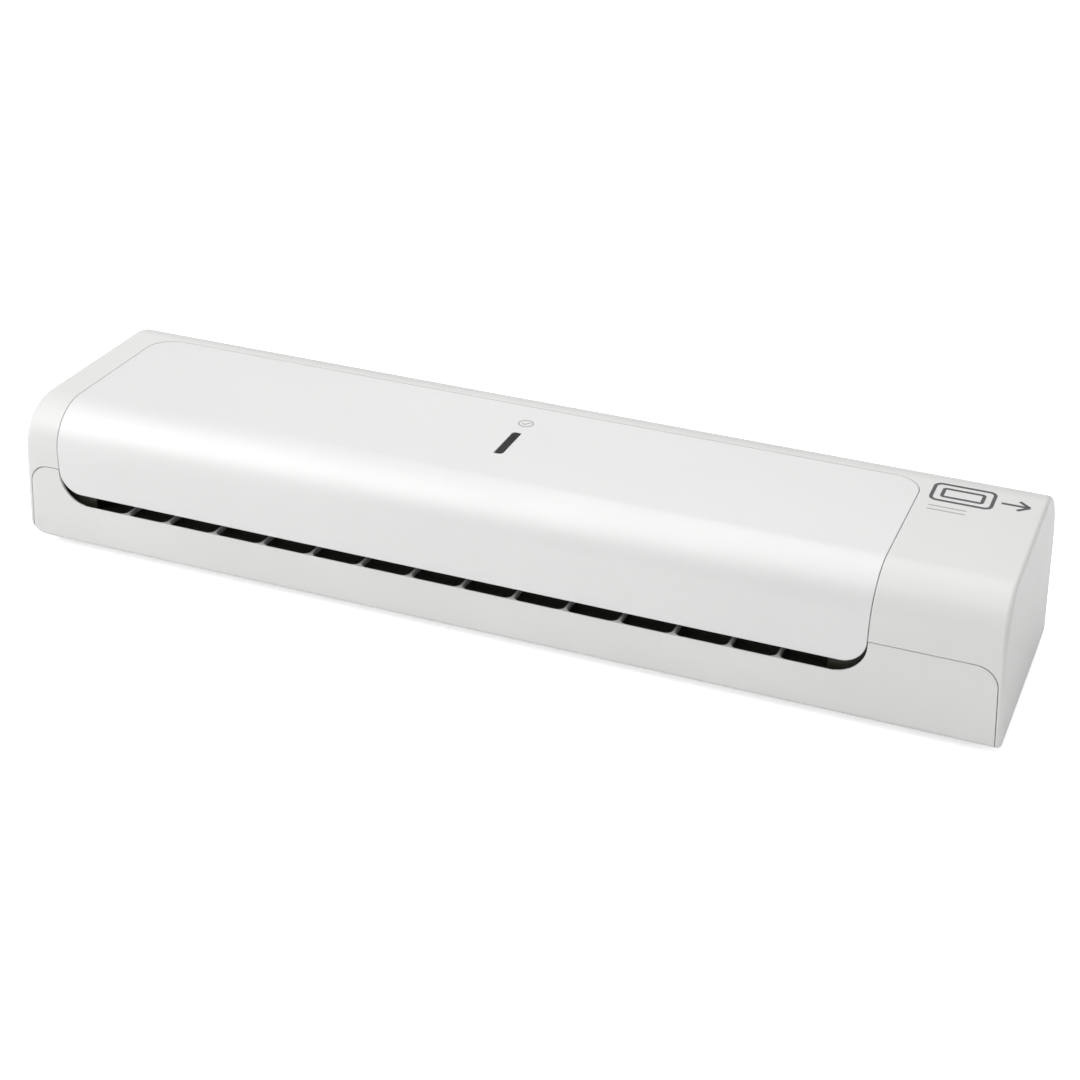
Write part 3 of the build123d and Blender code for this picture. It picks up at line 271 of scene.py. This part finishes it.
def rubbery(name, colour, rough=0.7):
    """Rubber or soft PVC: dull, faintly mottled with dust, and paler on its edges as a painted
    highlight.
    """
    n = Nodes(name)
    edge_mask, rounded = n.edges(0.0003)
    dust = n.spread(n.noise(0.008, detail=5.0), 0.0, 0.35, start=0.45, stop=0.8)
    pale = shade(colour, 1.3, 0.02)
    base = n.blend(dust, colour, pale)
    # Painted highlight: the colour is made paler along every edge.
    painted_rim = n.spread(edge_mask, 0.0, 0.3, start=0.0, stop=1.0)
    base = n.blend(painted_rim, base, pale)
    normal = n.relief(n.noise(0.0003, detail=4.0), 0.00003, 0.5, rounded)
    return n.finish(Base_Color=base, Roughness=n.vary(0.004, rough * 0.9, rough * 1.08),
                    Normal=normal)


def smoked(name):
    """Dark translucent acrylic of the indicator window."""
    n = Nodes(name)
    _, rounded = n.edges(0.0002)
    haze = n.vary(0.0015, 0.10, 0.17, detail=2.0)
    cloud = n.vary(0.006, 0.0, 1.0, detail=2.0)
    body = n.blend(cloud, (0.006, 0.007, 0.008, 1), (0.012, 0.013, 0.014, 1))
    return n.finish(Base_Color=body, Roughness=haze, Normal=rounded,
                    Specular_IOR_Level=0.25)


def board(name):
    """Printed circuit board: solder mask over copper tracks, with bright pads."""
    n = Nodes(name)
    brick = n.add("ShaderNodeTexBrick")
    n.link(n.place, brick.inputs["Vector"])
    brick.inputs["Scale"].default_value = 260.0
    brick.inputs["Mortar Size"].default_value = 0.03
    brick.inputs["Color1"].default_value = (0.015, 0.16, 0.055, 1)
    brick.inputs["Color2"].default_value = (0.02, 0.20, 0.07, 1)
    brick.inputs["Mortar"].default_value = (0.06, 0.34, 0.12, 1)
    pads = n.spread(n.noise(0.0018, detail=1.0), 0.0, 1.0, start=0.68, stop=0.72)
    base = n.blend(pads, brick.outputs["Color"], (0.75, 0.74, 0.70, 1))
    return n.finish(Base_Color=base, Roughness=n.vary(0.002, 0.25, 0.4),
                    Normal=n.relief(brick.outputs["Fac"], 0.00003, 0.4))


def printed(name, level):
    """Pad-printed ink: matt and slightly uneven."""
    n = Nodes(name)
    base = n.blend(n.vary(0.0006, 0.0, 1.0), rgba(level * 0.9), rgba(level))
    return n.finish(Base_Color=base, Roughness=n.vary(0.0008, 0.5, 0.62),
                    Normal=n.relief(n.noise(0.0002), 0.000005, 0.3))


def wires(name):
    """Insulation whose colour changes from one lead to the next."""
    n = Nodes(name)
    island = n.add("ShaderNodeNewGeometry").outputs["Random Per Island"]
    ramp = n.add("ShaderNodeValToRGB")
    ramp.color_ramp.interpolation = "CONSTANT"
    red, black = (0.45, 0.03, 0.02, 1), (0.02, 0.02, 0.02, 1)
    blue, white = (0.05, 0.10, 0.45, 1), (0.75, 0.74, 0.70, 1)
    elements = ramp.color_ramp.elements
    elements[0].color = red
    elements[1].position, elements[1].color = 0.25, black
    elements.new(0.5).color = blue
    elements.new(0.75).color = white
    n.link(island, ramp.inputs["Fac"])
    return n.finish(Base_Color=ramp.outputs["Color"], Roughness=n.vary(0.002, 0.35, 0.5),
                    Normal=n.relief(n.noise(0.0005), 0.00002, 0.4))


# ================================================================ finishes by slot
def finishes():
    """Material of each slot: its name, colour or level and tint, then its roughness."""
    along_x, along_y = (0.03, 1, 1), (1, 0.03, 1)
    return {
        "cover_plastic": moulded("satin_white", (0.80, 0.80, 0.79, 1), 0.34, coat=0.25),
        "panel_plastic": pearl("pearl_white", (0.83, 0.83, 0.825, 1)),
        "lens_plastic": smoked("smoked_acrylic"),
        "guide_plastic": moulded("black_guide", (0.030, 0.029, 0.020, 1), 0.42,
                                 grain_depth=0.00004),
        "zinc_steel": brushed("zinc_sheet", 0.62, (1.0, 1.0, 1.02), 0.38, along_y),
        "gearbox_metal": brushed("plated_gearbox", 0.50, (1.0, 0.98, 0.94), 0.42, along_y),
        "ground_steel": brushed("ground_steel", 0.66, (1, 1, 1), 0.24, (1, 0.05, 0.05)),
        "clip_steel": brushed("spring_steel", 0.34, (1, 0.98, 0.95), 0.34, along_x),
        "screw_steel": brushed("zinc_screw", 0.58, (1.0, 1.0, 1.02), 0.32, (1, 1, 1)),
        "silicone": rubbery("silicone_red", (0.30, 0.055, 0.035, 1), 0.48),
        "shoe_aluminium": brushed("mill_aluminium", 0.74, (1, 1, 1.01), 0.36, along_x),
        "heater_film": moulded("heater_film", (0.50, 0.24, 0.05, 1), 0.30, edge_highlight=0.1),
        "bearing_plastic": moulded("bearing_black", (0.05, 0.05, 0.05, 1), 0.5),
        "gear_nylon": moulded("gear_acetal", (0.78, 0.76, 0.66, 1), 0.38),
        "control_plastic": moulded("control_black", (0.022, 0.022, 0.024, 1), 0.40,
                                   grain_depth=0.00005),
        "fuse_ceramic": moulded("fuse_ceramic", (0.72, 0.70, 0.64, 1), 0.55),
        "terminal_brass": brushed("nickel_brass", 0.70, (1.0, 0.93, 0.78), 0.26, along_x),
        "circuit_board": board("circuit_board"),
        "component_plastic": moulded("component_case", (0.05, 0.07, 0.22, 1), 0.4),
        "led_epoxy": moulded("led_epoxy", (0.60, 0.72, 0.62, 1), 0.2),
        "wire_insulation": wires("wire_insulation"),
        "foot_rubber": rubbery("foot_rubber", (0.045, 0.045, 0.045, 1)),
        "cord_rubber": rubbery("cord_pvc", (0.030, 0.030, 0.031, 1), 0.5),
    }


def dress(node, material):
    """Gives a CAD node its material."""
    piece = frame["nodes"][node]
    piece.data.materials.clear()
    piece.data.materials.append(material)


FINISH = finishes()
for entry in frame["record"]["subparts"]:
    dress(entry["node"], FINISH[entry["material_slot"]])


# ================================================================ printed marks
def top_finder(*nodes):
    """Function that drops a point in plan onto the highest surface of some CAD nodes."""
    trees = []
    for node in nodes:
        mesh = frame["nodes"][node].data
        corners = [v.co.copy() for v in mesh.vertices]
        trees.append(BVHTree.FromPolygons(corners, [tuple(p.vertices) for p in mesh.polygons]))

    def drop(x, y):
        hits = [tree.ray_cast(Vector((x, y, 1.0)), Vector((0, 0, -1)))[0] for tree in trees]
        return max(hit.z for hit in hits if hit)

    return drop


def stroke(mesh, points, width, surface):
    """Adds a ribbon of a given width along plan points, just above a surface."""
    rims = []
    for i, point in enumerate(points):
        before = points[max(i - 1, 0)]
        after = points[min(i + 1, len(points) - 1)]
        along = (Vector(after) - Vector(before)).normalized()
        side = Vector((-along.y, along.x)) * width / 2
        rims.append([Vector(point) + side, Vector(point) - side])
    rows = []
    for left, right in rims:
        rows.append([mesh.verts.new((p.x, p.y, surface(p.x, p.y) + INK_LIFT))
                     for p in (left, right)])
    for a, b in zip(rows, rows[1:]):
        mesh.faces.new((a[0], a[1], b[1], b[0]))


def arc(centre, radius, start, stop, steps):
    """Plan points along an arc, angles in degrees."""
    angles = [radians(start + (stop - start) * i / steps) for i in range(steps + 1)]
    return [(centre[0] + radius * cos(a), centre[1] + radius * sin(a)) for a in angles]


def line(a, b, steps=6):
    """Plan points along a straight line, close enough to follow a curved surface."""
    return [(a[0] + (b[0] - a[0]) * i / steps, a[1] + (b[1] - a[1]) * i / steps)
            for i in range(steps + 1)]


def rounded_frame(x0, x1, y0, y1, radius):
    """Plan outline of a rounded rectangle, closed by its first two points."""
    points = arc((x1 - radius, y1 - radius), radius, 0, 90, CORNER_STEPS)
    points += arc((x0 + radius, y1 - radius), radius, 90, 180, CORNER_STEPS)
    points += arc((x0 + radius, y0 + radius), radius, 180, 270, CORNER_STEPS)
    points += arc((x1 - radius, y0 + radius), radius, 270, 360, CORNER_STEPS)
    return points + points[:2]


def printed_piece(name, strokes, width, material, surface, body, place=Matrix()):
    """One piece made of inked strokes, drawn flat and then moved to its place."""
    mesh = bmesh.new()
    for points in strokes:
        stroke(mesh, points, width, surface)
    bmesh.ops.transform(mesh, matrix=place, verts=mesh.verts)
    data = bpy.data.meshes.new(name)
    bmesh.ops.recalc_face_normals(mesh, faces=mesh.faces)
    mesh.to_mesh(data)
    mesh.free()
    piece = bpy.data.objects.new(name, data)
    bpy.context.scene.collection.objects.link(piece)
    piece.data.materials.append(material)
    thick = piece.modifiers.new("ink", "SOLIDIFY")
    thick.thickness = INK_THICKNESS
    thick.offset = 1.0
    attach(piece, body)


def corner_marks(bold, light):
    """Page-in-a-pouch pictogram on the drive end, with two short rules in front of it."""
    cover_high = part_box("upper_cover")[1]
    panel_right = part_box("top_panel")[1][0]
    surface = top_finder("upper_cover")
    middle = 0.5 * (panel_right + cover_high[0]) + MARK_SHIFT
    front = CASING_Y + MARK_FRONT
    centre = front + POUCH_SIZE_Y / 2
    pouch = rounded_frame(middle + POUCH_X[0], middle + POUCH_X[1],
                          front, front + POUCH_SIZE_Y, POUCH_CORNER)
    page = rounded_frame(middle + PAGE_X[0], middle + PAGE_X[1],
                         front + PAGE_Y[0], front + PAGE_Y[1], PAGE_CORNER)
    arrow = line((middle + ARROW_X[0], centre), (middle + ARROW_X[1], centre))
    tip = (middle + ARROW_TIP_X, centre)
    barbs = [line(tip, (middle + BARB_X, centre + side * BARB_Y)) for side in (-1, 1)]
    printed_piece("pouch_mark", [pouch, page, arrow, *barbs], BOLD_LINE, bold, surface, "housing")
    rules = [line((middle + RULE_X[0], front - y), (middle + RULE_X[1], front - y))
             for y in RULE_Y]
    printed_piece("size_rules", rules, FINE_LINE, light, surface, "housing")


def ready_mark(light):
    """Small tick in a ring behind the indicator window."""
    low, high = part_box("indicator_lens")
    surface = top_finder("top_panel")
    x, y = 0.5 * (low[0] + high[0]), high[1] + READY_BACK
    ring = arc((x, y), READY_RING, 0, 360, 28)
    start, elbow = (x - 1.1 * MM, y), (x - 0.3 * MM, y - 0.9 * MM)
    end = (x + 1.2 * MM, y + 1.1 * MM)
    tick = line(start, elbow, 3) + line(elbow, end, 4)[1:]
    printed_piece("ready_mark", [ring, tick], TICK_LINE, light, surface, "housing")


def switch_marks(white):
    """Bar and ring on the two halves of the power rocker, in its tipped rest position."""
    low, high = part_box("switch_body")
    wall = Vector((0.5 * (low[0] + high[0]), SWITCH_WALL[0], SWITCH_WALL[1]))
    outward = Matrix.Translation(wall) @ Matrix.Rotation(-pi / 2 - SWITCH_LEAN, 4, "X")
    pivot = Matrix.Translation((0, 0, -ROCKER_PIVOT))
    place = outward @ pivot @ Matrix.Rotation(radians(ROCKER_TIP), 4, "Y") @ pivot.inverted()

    def facet(x, y):
        return ROCKER_FACE + ROCKER_SLOPE * abs(x)

    bar = line((-SWITCH_MARK_X, -SWITCH_BAR_HALF), (-SWITCH_MARK_X, SWITCH_BAR_HALF))
    ring = arc((SWITCH_MARK_X, 0), SWITCH_RING, 0, 360, 24)
    printed_piece("switch_marks", [bar, ring], FINE_LINE, white, facet, "rocker", place)


LIGHT_INK = printed("ink_light", 0.42)
corner_marks(printed("ink_grey", 0.10), LIGHT_INK)
ready_mark(LIGHT_INK)
switch_marks(printed("ink_white", 0.80))


# ================================================================ floor, light, camera
def floor():
    """Pale ground that glows a little in the camera's view, and lights nothing by it."""
    mesh = bpy.data.meshes.new("floor")
    half = FLOOR_HALF
    corners = [(-half, -half, 0), (half, -half, 0), (half, half, 0), (-half, half, 0)]
    mesh.from_pydata(corners, [], [(0, 1, 2, 3)])
    plane = bpy.data.objects.new("floor", mesh)
    bpy.context.scene.collection.objects.link(plane)
    n = Nodes("floor_white")
    tone = n.vary(0.4, 0.0, 1.0, detail=2.0)
    seen = n.add("ShaderNodeLightPath").outputs["Is Camera Ray"]
    lift = n.spread(seen, 0.0, FLOOR_GLOW, start=0.0, stop=1.0)
    plane.data.materials.append(n.finish(
        Base_Color=n.blend(tone, rgba(0.93), rgba(0.95)), Roughness=0.9,
        Emission_Color=rgba(1.0), Emission_Strength=lift))


def aim(thing, place, target):
    thing.location = place
    thing.rotation_euler = (Vector(target) - Vector(place)).to_track_quat("-Z", "Y").to_euler()


def softbox(name, place, size, power):
    """Rectangular lamp placed about the casing's middle and aimed at it."""
    light = bpy.data.lights.new(name, "AREA")
    light.shape = "RECTANGLE"
    light.size, light.size_y = size
    light.energy = power
    lamp = bpy.data.objects.new(name, light)
    bpy.context.scene.collection.objects.link(lamp)
    middle = Vector((0, CASING_Y, 0))
    aim(lamp, middle + Vector(place), middle + Vector((0, 0, AIM_HEIGHT)))


def studio():
    world = bpy.data.worlds.new("studio")
    world.use_nodes = True
    background = world.node_tree.nodes["Background"]
    background.inputs["Color"].default_value = (1.0, 1.0, 1.0, 1)
    background.inputs["Strength"].default_value = SKY
    bpy.context.scene.world = world
    for light in STUDIO_LIGHTS:
        softbox(*light)


def camera():
    data = bpy.data.cameras.new("camera")
    data.sensor_width = SENSOR
    data.lens = CAMERA_LENS
    data.clip_start, data.clip_end = CAMERA_CLIP
    view = bpy.data.objects.new("camera", data)
    bpy.context.scene.collection.objects.link(view)
    turn = Matrix.Rotation(CAMERA_YAW, 4, "Z") @ Matrix.Rotation(pi / 2 - CAMERA_PITCH, 4, "X")
    roll = Matrix.Rotation(CAMERA_ROLL, 4, "Z")
    view.matrix_world = Matrix.Translation(CAMERA_PLACE) @ turn @ roll
    bpy.context.scene.camera = view


floor()
studio()
camera()
bpy.context.scene.view_settings.view_transform = "Standard"
